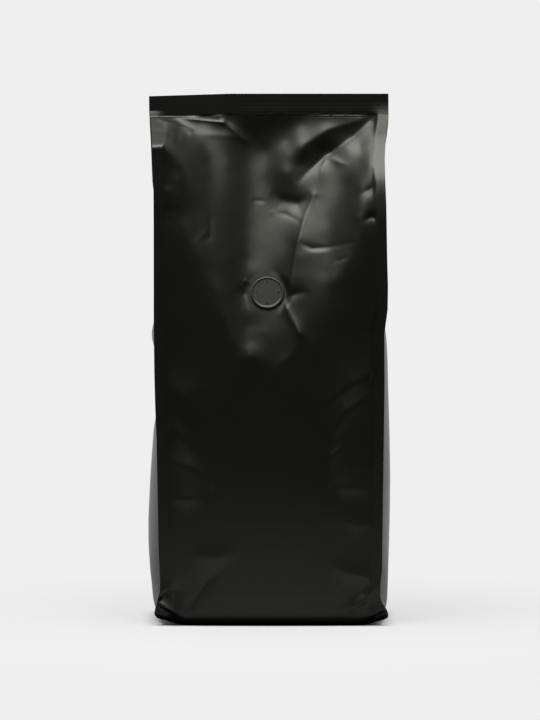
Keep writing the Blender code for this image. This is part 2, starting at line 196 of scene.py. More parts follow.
# Creases in the front film: path of (x, height) points, rise at each point (out of the film, or into
# it where negative), reach to the left and to the right of the path's direction, and rounding
CREASES = {
    "streak top": (((-67, 301), (-50, 299.2), (-27.5, 297)), (0.7, 0.7, 0.6), (0.4, 1.6), 0.12),
    "streak low": (((-66, 298.8), (-57, 296.4), (-46.4, 292.4)), (0.9, 1.1, 0.5), (0.7, 1.8), 0.2),
    "lens": (((-69, 291), (-58, 289.6), (-47.4, 289.8)), (-0.7, -1.0, -0.2), (1.8, 0.9), 0.25),
    "peak right": (((-26.9, 297.2), (-20, 291.5), (-14.7, 286.6)), (1.3, 1.2, 0.9), (1.2, 3.2), 0.15),
    "panel top": (((-46, 289.8), (-30, 289.4), (-16.5, 288)), (0.3, 0.3, 0.2), (2.2, 3.0), 0.25),
    "fan groove": (((-58.5, 289), (-59.6, 280)), (-0.8, 0.0), (1.6, 1.6), 0.4),
    "fan ridge": (((-51, 288.6), (-53, 279)), (0.7, 0.0), (2.4, 2.4), 0.5),
    "shoulder": (((-68, 281.4), (-62.4, 283), (-57.5, 277), (-55.2, 268)),
                 (0.3, 0.7, 0.7, 0.0), (1.6, 2.6), 0.3),
    "dent left high": (((-63, 256.6), (-57, 255.8)), (0.3, 0.15), (1.8, 2.0), 0.6),
    "dent left low": (((-62, 242), (-57, 241)), (0.35, 0.2), (1.8, 2.0), 0.6),
    "roll crest": (((56, 299), (36, 292.8), (22, 284), (15, 272)), (0.5, 1.0, 0.8, 0.0), (3.0, 3.0), 1.4),
    "roll valley": (((62, 300.5), (50, 288.6), (34, 277), (24, 268.4), (16, 260)),
                    (-0.4, -1.8, -2.8, -1.2, 0.0), (2.6, 6.4), 0.7),
    "cone left": (((34, 276.6), (31, 268), (29, 256)), (0.5, 0.5, 0.0), (2.4, 1.6), 0.3),
    "cone right": (((35, 276.6), (42, 273), (48, 271)), (0.4, 0.5, 0.0), (1.4, 2.6), 0.3),
    "crescent": (((1, 255.4), (8, 250.6), (17, 248.6), (26, 251.8)),
                 (0.0, -1.3, -1.9, -0.5), (2.8, 6.0), 2.4),
    "ridge": (((26.6, 253.7), (21, 240), (16.6, 224), (11, 194)), (0.8, 1.0, 1.0, 0.6), (4.0, 2.2), 0.3),
    "dent long": (((2, 243.4), (10, 242.4), (18, 238.4)), (0.15, -0.4, -0.15), (0.9, 1.3), 0.25),
    "dent short": (((-8, 250.5), (-3, 250.2)), (-0.25, -0.25), (0.8, 0.9), 0.2),
    "pleat": (((17, 225.9), (25.5, 221.8), (33, 222.4), (41, 223.8), (49, 225.3)),
              (0.15, -0.9, -0.5, -0.35, -0.2), (2.0, 1.1), 0.25),
    "pleat lip": (((25, 220.6), (31, 219.8), (36, 220.6)), (0.25, 0.2, 0.0), (0.8, 3.0), 0.4),
    "pleat tiny": (((40, 214.6), (45, 216.4)), (-0.25, -0.25), (0.9, 0.7), 0.2),
    "side pleat": (((52, 252), (58, 256), (64, 259)), (-0.4, -1.4, -1.0), (3.0, 3.0), 0.6),
    "side notch": (((55, 238), (60, 240.6), (64, 240)), (-0.2, -1.4, -1.4), (2.0, 2.0), 0.5),
    "left curve": (((-38, 250.8), (-34.3, 240), (-34.6, 229), (-39, 225)),
                   (0.0, -0.45, -0.55, 0.0), (2.6, 1.6), 0.5),
    "left curve lip": (((-36.7, 232), (-43.8, 224)), (0.25, 0.0), (0.9, 1.2), 0.3),
    "valve ear": (((-13.6, 202.6), (-8.6, 200.4)), (0.7, 1.2), (1.2, 1.2), 0.4),
    "valve left": (((-22, 197), (-16, 195.6), (-11, 195.6)), (0.0, -0.8, -1.3), (2.4, 2.4), 0.8),
    "valve right": (((10.6, 192.8), (16, 195.6), (24, 197)), (-1.1, -1.2, 0.0), (2.6, 2.6), 0.7),
    "valve fold": (((8.3, 191.4), (13, 182), (18, 172.6)), (1.1, 1.2, 1.5), (1.8, 3.0), 0.5),
    "lobe left": (((-12.4, 176), (-11.4, 166), (-11.2, 158.6)), (0.0, 0.6, 1.4), (4.0, 3.2), 0.8),
    "low right fold": (((66, 152), (50, 143), (36, 132), (29, 120)), (0.8, 1.9, 1.0, 0.0), (5.0, 9.0), 1.8),
    "low right crease": (((64, 139), (46, 127), (37, 112), (33, 92)),
                         (-0.5, -1.8, -1.2, -0.1), (6.5, 4.0), 1.4),
    "low right line": (((46, 108), (37, 100), (35.5, 85)), (-0.4, -1.7, -1.0), (6.0, 3.2), 0.7),
    "low right shelf": (((34, 83), (46, 82), (64, 80.6)), (0.0, 1.5, 0.4), (6.5, 4.0), 1.0),
    "low right step": (((40, 65), (52, 60), (65, 61)), (0.2, 0.9, 0.2), (5.0, 4.0), 1.2),
    "low left fold": (((-64, 128), (-52, 112), (-40, 92)), (0.2, 1.4, 0.2), (7.0, 5.0), 1.6),
    "low left long": (((-62, 146), (-50, 136), (-42, 118)), (0.3, 1.5, 0.2), (10.0, 6.0), 2.5),
    "low left crease": (((-64, 100), (-48, 94), (-34, 87)), (-0.2, -1.5, -0.1), (5.0, 5.5), 1.4),
    "low left shelf": (((-64, 77), (-48, 75), (-34, 77)), (0.3, 1.5, 0.0), (6.0, 4.0), 1.2),
    "low left patch": (((-46, 42), (-33, 41), (-19, 42.4)), (0.1, 1.4, 0.2), (5.5, 7.0), 0.8),
    "low left sweep": (((-24, 37), (-36, 27), (-48, 10)), (-0.3, -1.0, -1.0), (3.4, 5.0), 0.9),
    "low middle dent": (((-34, 79), (-32.4, 72)), (-0.5, -0.1), (2.4, 2.4), 0.8),
    "foot left valley": (((-68, 13.2), (-65.6, 14), (-57.2, 20.8)), (-3.0, -3.0, -1.9), (0.9, 5.0), 0.2),
    "foot left ridge": (((-68, 13.8), (-65.6, 13.4), (-55.8, 7.8)), (2.0, 2.8, 2.2), (5.0, 0.9), 0.15),
    "foot left side": (((-57.2, 20.8), (-55.8, 7.8)), (0.9, 0.9), (0.8, 3.4), 0.2),
    "foot right ridge": (((46, 9), (56, 15), (62.4, 22)), (0.3, 1.8, 0.8), (4.6, 1.6), 0.5),
    "foot right valley": (((48, 14.6), (54, 20), (58, 28)), (-0.3, -1.2, -0.2), (4.0, 2.4), 0.8),
    "foot right strip": (((60, 5.4), (68, 8.6)), (0.9, 1.3), (1.8, 0.5), 0.1),
    "foot right shelf": (((38, 36), (46, 31), (60, 28)), (0.3, 1.4, 1.2), (5.0, 3.6), 0.7),
}

# The base's edge lifts off the floor towards the corners: how much at the left and right ones, up to
# which height, across which x, and how sharply
FOOT_LIFT_LEFT = 4.6
FOOT_LIFT_RIGHT = 3.4
FOOT_LIFT_TOP = 14.0
FOOT_LIFT_LEFT_SIDE = (44, 70)
FOOT_LIFT_RIGHT_SIDE = (50, 71)
FOOT_LIFT_POWER = 1.4
FOOT_LIFT_FALL = 1.5

# Back panel
BACK_SLACK_LOW = 176.0
BACK_SLACK_HIGH = 238.0
BACK_BEND_RADIUS = 14.0
BACK_SLACK_POWER = 1.2
BACK_SLACK_BLEND = (30, 60)
BACK_SEAL_BLEND = 0.9

# Valve seat
VALVE_X = float(VALVE_LOW[0] + VALVE_HIGH[0]) / 2
VALVE_HEIGHT = 195.8
VALVE_DEPTH = 40.0
VALVE_SLOPE = 0.31
VALVE_SEAT_RADIUS = 10.4
VALVE_SEAT_BLEND = 4.5

# Over how much height the corners of the tables are rounded, and where that begins and ends
SEAL_BEND_RADIUS = 4.0
BACK_SEAL_BEND_RADIUS = 6.0
SEAL_BEND_START = (14, 60)
SEAL_BEND_END = (290, 300)
SEAL_EDGE_RADIUS = 0.8
BACK_SEAL_EDGE_RADIUS = 2
SEAL_ROOT_START = (-2, 6)
BULGE_RADIUS = 16
BULGE_START = (4, 40)

# How finely the film is divided
FRONT_COLUMNS = 196
BACK_COLUMNS = 28
GUSSET_COLUMNS = 18
SEAL_COLUMNS = 5
FOOT_LEVELS = (0, 0.5, 1.1, 1.8, 2.6, 3.5, 4.4, *np.arange(5.2, 29, 0.9))
MIDDLE_LEVELS = np.arange(30, 148, 1.9)
SLACK_LEVELS = np.linspace(148.5, 292, 150)
HEADER_FOOT_LEVELS = np.linspace(292.4, HEADER_BOTTOM, 30)
HEADER_LEVELS = np.linspace(HEADER_BOTTOM + 0.3, HEIGHT, 34)

# Below the first height the creases run on over both corner seals, above the second over the left one
SEAL_CREASE_TOP = 30.0
SEAL_CREASE_TOP_BLEND = 6
SEAL_CREASE_HIGH = 268.0
SEAL_CREASE_HIGH_BLEND = 8

# Shares of the panel's half width where the sheet and the creases start to run out into the seals
SHEET_FADE = 0.96
CREASE_FADE = 0.93
CREASE_FADE_GAIN = 0.03
CREASE_FADE_BLEND = (150, 180)

# How far under the top band's foot the hem, the creases and the slack film reach their full depth
HEM_BLEND = 0.3
CREASE_BLEND = 1
HEADER_BLEND = 1.6

# The floor as it is lit: half sizes of the dark patch under the base, and its soft edge, in metres
BASE_HALF_SIZES = (("X", 0.064), ("Y", 0.038))
BASE_EDGE = 0.014

# Where the room's pale walls and ceiling begin and are full, as parts of the ray's direction
WALLS_SPAN = (-0.45, 0.35)
CEILING_SPAN = (-0.2, 0.45)

# The softbox's place, aim and size, in metres
SOFTBOX_PLACE = (-0.1, -0.5, 1.25)
SOFTBOX_AIM = (-0.1, -0.5, 0)
SOFTBOX_SIZE = (0.95, 0.9)


def between(z, table, radius=0.0):
    """The table's value at height z, with its corners rounded over the radius."""
    heights, values = np.array(table, float).T
    spread = np.linspace(-1, 1, 7)
    return np.mean([np.interp(z + radius * share, heights, values) for share in spread], axis=0)


def smooth_step(value, low, high):
    t = np.clip((value - low) / (high - low), 0, 1)
    return t * t * (3 - 2 * t)


def span_share(x, span):
    """1 between the span's inner ends, fading to 0 at its outer ends."""
    start, full, fading, end = span
    return smooth_step(x, start, full) * (1 - smooth_step(x, fading, end))


def seal_bend(z, radius):
    return radius * smooth_step(z, *SEAL_BEND_START) * (1 - smooth_step(z, *SEAL_BEND_END))


def seal_depth(z, side):
    """Depth of the front corner seals: side runs from -1 at the left one to 1 at the right one."""
    share = (np.asarray(side) + 1) / 2
    radius = seal_bend(z, SEAL_BEND_RADIUS)
    left = between(z, SEAL_DEPTH_LEFT, radius / 3)
    right = between(z, SEAL_DEPTH_RIGHT, radius)
    return left * (1 - share) + right * share


def back_seal_depth(z):
    return between(z, SEAL_DEPTH_BACK, seal_bend(z, BACK_SEAL_BEND_RADIUS))


def seal_edge(z, side):
    return between(z, SEAL_EDGE_LEFT if side < 0 else SEAL_EDGE_RIGHT, SEAL_EDGE_RADIUS)


def back_seal_edge(z, side):
    return between(z, SEAL_EDGE_BACK_LEFT if side < 0 else SEAL_EDGE_BACK_RIGHT, BACK_SEAL_EDGE_RADIUS)


def seal_root(z, side):
    return seal_edge(z, side) - SEAL_WIDTH * smooth_step(z, *SEAL_ROOT_START)


def root_at(x, z):
    return np.where(x < 0, seal_root(z, -1), seal_root(z, 1))


def bulge_at(z):
    return PANEL_BULGE * between(z, BULGE_PROFILE, BULGE_RADIUS * smooth_step(z, *BULGE_START))


def filled_depth(x, z):
    """Depth of the front panel as if the contents filled it up to the header."""
    side = np.clip(x / root_at(x, z), -1, 1)
    return between(z, FILLED_DEPTH) + bulge_at(z) * (1 - np.abs(side) ** PANEL_ROUNDNESS)


def header_foot(x):
    """Height of the top band's lower edge, which dips towards the left corner."""
    return HEADER_BOTTOM - HEADER_FOOT_DIP * np.clip((HEADER_DROP_START - x) / HEADER_FOOT_DIP_RUN, 0, 1)


def header_depth(x, z):
    """Depth of the top band: it leans back at its lower corners, and has faint ribs across it."""
    past_right = np.clip(LEAN_RIGHT_TOP - z, 0, LEAN_RIGHT_RUN) / LEAN_RIGHT_RUN
    lean_right = LEAN_RIGHT * smooth_step(x, *LEAN_RIGHT_SIDE) * past_right ** LEAN_RIGHT_POWER
    past_left = np.clip(LEAN_LEFT_TOP - z, 0, LEAN_LEFT_RUN)
    lean_left = LEAN_LEFT * smooth_step(-x, *LEAN_LEFT_SIDE) * past_left / LEAN_LEFT_RUN
    ribs = sum(rise * np.exp(-((z - height) / HEADER_RIB_WIDTH) ** 2) for height, rise in HEADER_RIBS)
    return HEADER_FRONT + lean_right + lean_left + span_share(x, HEADER_RIB_SPAN) * ribs


def hem_relief(x, z):
    """The crinkled line right under the top band, and the fine folds beside the roll."""
    below = header_foot(x) - z
    wobble = sum(np.sin(x * rate + start) for rate, start in HEM_WAVES)
    middle = HEM_DROP + HEM_WANDER * np.sin(x * HEM_WANDER_RATE)
    hem = (HEM_RISE + HEM_WOBBLE * wobble) * np.exp(-((below - middle) / HEM_WIDTH) ** 2)
    fine = span_share(x, FINE_FOLD_SPAN) * smooth_step(below, *FINE_FOLD_START)
    fine = fine * np.exp(-below / FINE_FOLD_REACH)
    return span_share(x, HEM_SPAN) * hem + FINE_FOLD_RISE * fine * np.sin(below * FINE_FOLD_RATE)


class SlackSheet:
    """A thin smooth sheet through the fall lines, the corner seals, the header's foot and the V's edge."""

    def __init__(self):
        points = [(x, z, depth) for x, line in SLACK_FALL.items() for z, depth in line]
        points += [(x, float(header_foot(x)), HEADER_FRONT) for x in HEADER_ANCHORS]
        for turn in np.radians(SEAT_RING_ANGLES):
            x, rise = SEAT_RING * math.cos(turn), SEAT_RING * math.sin(turn)
            points.append((VALVE_X + x, VALVE_HEIGHT + rise, VALVE_DEPTH - VALVE_SLOPE * rise))
        for side in (-1, 1):
            for z in SEAL_ANCHORS:
                points.append((float(side * seal_root(z, side)), z, float(seal_depth(z, side))))
        for x, z, lean in SLACK_EDGE:
            depth = float(filled_depth(x, z))
            points.append((x, z, depth))
            points.append((x, z - EDGE_REACH, depth + EDGE_REACH * lean))
        places, self.centres = np.array(points), np.array(points)[:, :2]
        count = len(points)
        system = np.zeros((count + 3, count + 3))
        system[:count, :count] = self.kernel(self.centres[:, 0], self.centres[:, 1])
        system[:count, count] = 1
        system[:count, count + 1:] = self.centres / SHEET_SCALE
        system[count:, :count] = system[:count, count:].T
        self.weights = np.linalg.solve(system, np.append(places[:, 2], (0, 0, 0)))

    def kernel(self, x, z):
        gap_x = np.asarray(x)[..., None] - self.centres[:, 0]
        gap_z = np.asarray(z)[..., None] - self.centres[:, 1]
        square = (gap_x ** 2 + gap_z ** 2) / SHEET_SCALE ** 2 + 1e-12
        return square * np.log(square) / 2

    def depth_at(self, x, z):
        flat = self.weights[-3] + self.weights[-2] * x / SHEET_SCALE + self.weights[-1] * z / SHEET_SCALE
        return self.kernel(x, z) @ self.weights[:-3] + flat


def crease_relief(x, z):
    """How far all creases lift the film."""
    relief = np.zeros(np.shape(x))
    for path, rises, (left, right), rounding in CREASES.values():
        nearest = np.full(np.shape(x), np.inf)
        lift = np.zeros(np.shape(x))
        for (x0, z0), (x1, z1), rise0, rise1 in zip(path, path[1:], rises, rises[1:]):
            run_x, run_z = x1 - x0, z1 - z0
            length = math.hypot(run_x, run_z)
            along = np.clip(((x - x0) * run_x + (z - z0) * run_z) / length ** 2, 0, 1)
            gap = np.hypot(x - x0 - along * run_x, z - z0 - along * run_z)
            across = (run_x * (z - z0) - run_z * (x - x0)) / length
            past_end = ((along == 0) & ((x0, z0) == path[0])) | ((along == 1) & ((x1, z1) == path[-1]))
            side = np.where(past_end, across / np.maximum(gap, 1e-9), np.sign(across))
            reach = right + (left - right) * (1 + side) / 2
            rise = rise0 + (rise1 - rise0) * along
            here = rise * np.exp(-(np.sqrt(gap ** 2 + rounding ** 2) - rounding) / reach)
            lift = np.where(gap < nearest, here, lift)
            nearest = np.minimum(gap, nearest)
        relief = relief + lift
    return relief


def smooth_least(first, second, rounding):
    """The lesser of two depths, with the corner where they meet rounded."""
    gap = first - second
    return (first + second - np.sqrt(gap ** 2 + rounding ** 2)) / 2


def front_depth(sheet, x, z):
    side = np.clip(x / root_at(x, z), -1, 1)
    below = header_foot(x) - z
    header = header_depth(x, z)
    z = np.minimum(z, HEADER_BOTTOM)
    blend = smooth_step(z, *EDGE_ROUNDING_BLEND)
    rounding = EDGE_ROUNDING + (EDGE_ROUNDING_HIGH - EDGE_ROUNDING) * blend
    depth = smooth_least(filled_depth(x, z), sheet.depth_at(x, z), rounding)
    relief = crease_relief(x, z) * smooth_step(below, 0, CREASE_BLEND)
    seal = seal_depth(z, np.sign(x))
    share = smooth_step(np.abs(side), SHEET_FADE, 1.0)
    depth = depth * (1 - share) + seal * share + hem_relief(x, z) * smooth_step(below, 0, HEM_BLEND)
    fade_start = CREASE_FADE + CREASE_FADE_GAIN * smooth_step(z, *CREASE_FADE_BLEND)
    fade = np.clip((np.abs(side) - fade_start) / (1 - fade_start), 0, 1)
    calm = smooth_step(z, SEAL_CREASE_TOP - SEAL_CREASE_TOP_BLEND, SEAL_CREASE_TOP)
    high = smooth_step(z, SEAL_CREASE_HIGH, SEAL_CREASE_HIGH + SEAL_CREASE_HIGH_BLEND)
    calm = calm * (1 - high * (x < 0))
    depth = depth + relief * (1 - smooth_step(fade, 0, 1) * calm)
    near_header = smooth_step(below, 0, HEADER_BLEND)
    depth = header * (1 - near_header) + depth * near_header
    distance = np.hypot(x - VALVE_X, z - VALVE_HEIGHT)
    seat = VALVE_DEPTH - VALVE_SLOPE * (z - VALVE_HEIGHT)
    seat_share = 1 - smooth_step(distance, VALVE_SEAT_RADIUS, VALVE_SEAT_RADIUS + VALVE_SEAT_BLEND)
    return depth * (1 - seat_share) + seat * seat_share


def gusset_shape(z, front, back):
    """Where the gusset's middle crease lies: how far in from the root of the seals, and its y."""
    half_span = (front + back) / 2
    folded = np.sqrt(np.maximum(GUSSET_FOLDED_WIDTH ** 2 - half_span ** 2, 0))
    tuck = folded * smooth_step(z, GUSSET_TUCK_START, GUSSET_TUCK_END)
    return tuck, (back - front) / 2


def back_depth(x, z):
    """Depth of the back panel: bulged below, and leaning in above a shallow V."""
    side = np.clip(x / root_at(x, z), -1, 1)
    z = np.minimum(z, HEADER_BOTTOM)
    bulge = bulge_at(z) * (1 - np.abs(side) ** PANEL_ROUNDNESS)
    start = BACK_SLACK_LOW + (BACK_SLACK_HIGH - BACK_SLACK_LOW) * np.abs(side) ** BACK_SLACK_POWER
    upright = SEAL_DEPTH_MIDDLE + bulge
    slope = (upright - HEADER_BACK) / (HEADER_BOTTOM - start)
    past = z - start
    lean = slope * (past + np.sqrt(past ** 2 + BACK_BEND_RADIUS ** 2)) / 2
    at_top = slope * (HEADER_BOTTOM - start + np.hypot(HEADER_BOTTOM - start, BACK_BEND_RADIUS)) / 2
    leaning = upright - lean * (upright - HEADER_BACK) / at_top
    mixed = smooth_step(z, *BACK_SLACK_BLEND)
    depth = (back_seal_depth(z) + bulge) * (1 - mixed) + leaning * mixed
    share = smooth_step(np.abs(side), BACK_SEAL_BLEND, 1.0)
    return depth * (1 - share) + back_seal_depth(z) * share


def gusset_run(sheet, z, side):
    """The gusset from the front seal's root to the back one's, on the side -1 or 1."""
    front = float(seal_depth(z, side))
    back = float(back_seal_depth(z))
    tuck, crease_y = gusset_shape(z, front, back)
    share = np.linspace(-1, 1, GUSSET_COLUMNS + 1)
    near = crease_y - (crease_y + front - LAYER) * np.abs(share)
    far = crease_y + (back - LAYER - crease_y) * np.abs(share)
    y = np.where(share < 0, near, far)
    radius = GUSSET_BEND_RADIUS * smooth_step(z, *GUSSET_BEND_SPAN)
    edge = between(z, GUSSET_EDGE_LEFT if side < 0 else GUSSET_EDGE_RIGHT, radius)
    bulge = (edge - seal_root(z, side)) * (1 - np.abs(share) ** GUSSET_ROUNDNESS)
    x = side * (seal_root(z, side) + bulge - tuck * (1 - np.abs(share)))
    levels = np.full(len(x), z)
    ahead = LAYER - front_depth(sheet, x, levels)
    behind = back_depth(x, levels) - LAYER
    folded_in = np.abs(x) < seal_root(z, side)
    least = np.where(share > 0, ahead + FOLD_GAP, ahead)
    most = np.where(share > 0, behind, behind - FOLD_GAP)
    return x, np.where(folded_in, np.clip(y, least, most), y)


def film_levels():
    """Heights of the film's rows: close together at the foot, in the slack film and in the header."""
    return [*FOOT_LEVELS, *MIDDLE_LEVELS, *SLACK_LEVELS, *HEADER_FOOT_LEVELS, *HEADER_LEVELS]


def foot_lift(x, z):
    """How far the lowest rows lift towards the corners of the base."""
    left = FOOT_LIFT_LEFT * smooth_step(-x, *FOOT_LIFT_LEFT_SIDE) ** FOOT_LIFT_POWER
    right = FOOT_LIFT_RIGHT * smooth_step(x, *FOOT_LIFT_RIGHT_SIDE) ** FOOT_LIFT_POWER
    return (left + right) * np.clip(1 - z / FOOT_LIFT_TOP, 0, 1) ** FOOT_LIFT_FALL


def header_top(x):
    """The cut top edge, which drops a little towards the left corner."""
    drop = np.clip((HEADER_DROP_START - x) / (HEADER_DROP_START + HEADER_CORNER), 0, 1)
    return HEIGHT - HEADER_CORNER_DROP * drop


def film_rows(sheet):
    """Rows of points round the bag, anticlockwise seen from above, from the left front seal."""
    levels = np.array(film_levels())
    share = np.linspace(-1, 1, FRONT_COLUMNS + 1)
    left, right = seal_root(levels, -1)[:, None], seal_root(levels, 1)[:, None]
    front_x = np.where(share < 0, share * left, share * right)
    z = np.repeat(levels[:, None], FRONT_COLUMNS + 1, axis=1)
    front_y = -front_depth(sheet, front_x, z)
    back_share = np.linspace(1, -1, BACK_COLUMNS + 1)
    back_x = np.where(back_share < 0, back_share * left, back_share * right)
    z = np.repeat(levels[:, None], BACK_COLUMNS + 1, axis=1)
    back_y = back_depth(back_x, z)
    rows = []
    for k, level in enumerate(levels):
        points = list(zip(front_x[k], front_y[k]))
        for side in (1, -1):
            back_edge = float(back_seal_edge(level, side))
            back = float(back_seal_depth(min(level, HEADER_BOTTOM)))
            root, edge = float(seal_root(level, side)), float(seal_edge(level, side))
            steps = np.arange(1, SEAL_COLUMNS + 1) / SEAL_COLUMNS
            ahead_x = side * (root + (edge - root) * steps)
            behind_x = side * (root + (back_edge - root) * steps)
            front_run = -front_depth(sheet, ahead_x, np.full(SEAL_COLUMNS, level))
            ahead = list(zip(ahead_x, front_run)) + list(zip(ahead_x[::-1], front_run[::-1] + LAYER))
            behind = [(x, back - LAYER) for x in behind_x] + [(x, back) for x in behind_x[::-1]]
            side_run = list(zip(*gusset_run(sheet, level, side)))
            if side > 0:
                points += ahead + side_run + behind
                points += list(zip(back_x[k], back_y[k]))
            else:
                points += behind[::-1] + side_run[::-1] + ahead[::-1]
        above = max(level - HEADER_BOTTOM, 0) / (HEIGHT - HEADER_BOTTOM)
        row = []
        for x, y in points:
            drop = (float(header_top(x)) - HEIGHT) * above
            row.append((x, y, level + drop + float(foot_lift(x, level))))
        rows.append(row)
    return rows


def cap_faces(points):
    """Triangles that fill an outline."""
    count = len(points)
    result = delaunay_2d_cdt([Vector(point[:2]) for point in points], [], [list(range(count))], 1, 1e-7)
    order = [sources[0] for sources in result[3]]
    return [[order[index] for index in face] for face in result[2]]


def film_mesh(sheet):
    bm = bmesh.new()
    rows = film_rows(sheet)
    vertices = [[bm.verts.new(Vector(point) * MM) for point in row] for row in rows]
    count = len(vertices[0])
    for lower, upper in zip(vertices, vertices[1:]):
        for k in range(count):
            n = (k + 1) % count
            bm.faces.new((lower[k], lower[n], upper[n], upper[k]))
    for face in cap_faces(rows[0]):
        bm.faces.new([vertices[0][index] for index in face])
    for face in cap_faces(rows[-1]):
        bm.faces.new([vertices[-1][index] for index in face])
    bmesh.ops.recalc_face_normals(bm, faces=bm.faces)
    mesh = bpy.data.meshes.new("bag_film")
    bm.to_mesh(mesh)
    bm.free()
    mesh.shade_smooth()
    mesh.set_sharp_from_angle(angle=math.radians(50))
    return mesh


def new_material(name):
    """An empty node material with its Principled shader."""
    material = bpy.data.materials.new(name)
    material.use_nodes = True
    return material, material.node_tree, material.node_tree.nodes["Principled BSDF"]


def remap(tree, value, span=(0, 1), low=0.0, high=1.0, smooth=False):
    """Maps the span of a value onto low to high, with soft ends where smooth."""
    node = tree.nodes.new("ShaderNodeMapRange")
    node.interpolation_type = "SMOOTHSTEP" if smooth else "LINEAR"
    node.inputs["From Min"].default_value = span[0]
    node.inputs["From Max"].default_value = span[1]
    node.inputs["To Min"].default_value = low
    node.inputs["To Max"].default_value = high
    tree.links.new(value, node.inputs["Value"])
    return node.outputs["Result"]


def calculate(tree, operation, *values):
    """The result of a maths operation on sockets and numbers."""
    node = tree.nodes.new("ShaderNodeMath")
    node.operation = operation
    for place, value in zip(node.inputs, values):
        if isinstance(value, (int, float)):
            place.default_value = value
        else:
            tree.links.new(value, place)
    return node.outputs["Value"]


def mix_shaders(tree, share, first, second):
    """The first shader where share is 0, and the second where it is 1."""
    node = tree.nodes.new("ShaderNodeMixShader")
    for place, value in zip(node.inputs, (share, first, second)):
        tree.links.new(value, place)
    return node.outputs["Shader"]


def film_material(finish):
    """Black satin film: a faint drawn grain, soft clouding in the gloss, and very fine crinkle."""
    material, tree, shader = new_material("black satin film")
    place = tree.nodes.new("ShaderNodeTexCoord")
    clouds = tree.nodes.new("ShaderNodeTexNoise")
    clouds.inputs["Scale"].default_value = 38
    clouds.inputs["Detail"].default_value = 3
    tree.links.new(place.outputs["Object"], clouds.inputs["Vector"])
    rough = remap(tree, clouds.outputs["Fac"], low=finish.roughness - 0.03, high=finish.roughness + 0.03)
    tree.links.new(rough, shader.inputs["Roughness"])
    tint = tree.nodes.new("ShaderNodeMix")
    tint.data_type = "RGBA"
    tint.inputs["A"].default_value = (*finish.film_colour, 1)
    tint.inputs["B"].default_value = (*[channel * 1.25 for channel in finish.film_colour], 1)
    tree.links.new(clouds.outputs["Fac"], tint.inputs["Factor"])
    tree.links.new(tint.outputs["Result"], shader.inputs["Base Color"])
    stretch = tree.nodes.new("ShaderNodeMapping")
    stretch.inputs["Scale"].default_value = (900, 900, 14)
    tree.links.new(place.outputs["Object"], stretch.inputs["Vector"])
    grain = tree.nodes.new("ShaderNodeTexNoise")
    grain.inputs["Scale"].default_value = 1
    grain.inputs["Detail"].default_value = 2
    tree.links.new(stretch.outputs["Vector"], grain.inputs["Vector"])
    bump = tree.nodes.new("ShaderNodeBump")
    bump.inputs["Strength"].default_value = finish.grain_strength
    bump.inputs["Distance"].default_value = 0.00002
    tree.links.new(grain.outputs["Fac"], bump.inputs["Height"])
    tree.links.new(bump.outputs["Normal"], shader.inputs["Normal"])
    shader.inputs["IOR"].default_value = 1.5
    shader.inputs["Specular Tint"].default_value = (0.97, 1.0, 0.84, 1)
    return material


def valve_material(finish):
    """The valve's black plastic, a shade paler than the film, with a fine moulded texture."""
    material, tree, shader = new_material("black valve plastic")
    place = tree.nodes.new("ShaderNodeTexCoord")
    speckle = tree.nodes.new("ShaderNodeTexNoise")
    speckle.inputs["Scale"].default_value = 900
    tree.links.new(place.outputs["Object"], speckle.inputs["Vector"])
    rough = remap(tree, speckle.outputs["Fac"], low=finish.roughness - 0.06, high=finish.roughness + 0.02)
    tree.links.new(rough, shader.inputs["Roughness"])
    bump = tree.nodes.new("ShaderNodeBump")
    bump.inputs["Strength"].default_value = 0.1
    bump.inputs["Distance"].default_value = 0.00002
    tree.links.new(speckle.outputs["Fac"], bump.inputs["Height"])
    tree.links.new(bump.outputs["Normal"], shader.inputs["Normal"])
    shader.inputs["Base Color"].default_value = (*finish.valve_colour, 1)
    shader.inputs["Specular Tint"].default_value = (0.97, 1.0, 0.84, 1)
    shader.inputs["IOR"].default_value = 1.5
    return material


def floor_material(stage):
    """Pale floor that takes soft shadows near the bag and runs into the backdrop's tone further out.

    The film mirrors a dimmer floor than the camera sees, with a contact shade round the base.
    """
    material = bpy.data.materials.new("pale floor")
    material.use_nodes = True
    tree = material.node_tree
    tree.nodes.clear()
    output = tree.nodes.new("ShaderNodeOutputMaterial")
    seen = tree.nodes.new("ShaderNodeLightPath").outputs["Is Camera Ray"]
    matt = tree.nodes.new("ShaderNodeBsdfDiffuse")
    matt.inputs["Color"].default_value = (*[stage.floor_albedo] * 3, 1)
    glow = tree.nodes.new("ShaderNodeEmission")
    glow.inputs["Color"].default_value = (*[stage.backdrop] * 3, 1)
    tree.links.new(remap(tree, seen, low=stage.floor_bounce), glow.inputs["Strength"])
    shade = tree.nodes.new("ShaderNodeEmission")
    shade.inputs["Strength"].default_value = 0
    place = tree.nodes.new("ShaderNodeTexCoord")
    length = tree.nodes.new("ShaderNodeVectorMath")
    length.operation = "LENGTH"
    tree.links.new(place.outputs["Object"], length.inputs[0])
    fade_span = (stage.fade_start, stage.fade_end)
    fade = remap(tree, length.outputs["Value"], fade_span, low=1 - stage.shadow_share, smooth=True)
    split = tree.nodes.new("ShaderNodeSeparateXYZ")
    tree.links.new(place.outputs["Object"], split.inputs["Vector"])
    gaps = []
    for axis, half in BASE_HALF_SIZES:
        gaps.append(calculate(tree, "SUBTRACT", calculate(tree, "ABSOLUTE", split.outputs[axis]), half))
    beside = calculate(tree, "MAXIMUM", *gaps)
    share = calculate(tree, "MULTIPLY", fade, remap(tree, beside, (0, BASE_EDGE), smooth=True))
    lit = mix_shaders(tree, share, matt.outputs["BSDF"], glow.outputs["Emission"])
    clear = remap(tree, beside, (stage.contact_start, stage.contact_end), smooth=True)
    clear = calculate(tree, "MAXIMUM", clear, seen)
    tree.links.new(mix_shaders(tree, clear, shade.outputs["Emission"], lit), output.inputs["Surface"])
    return material


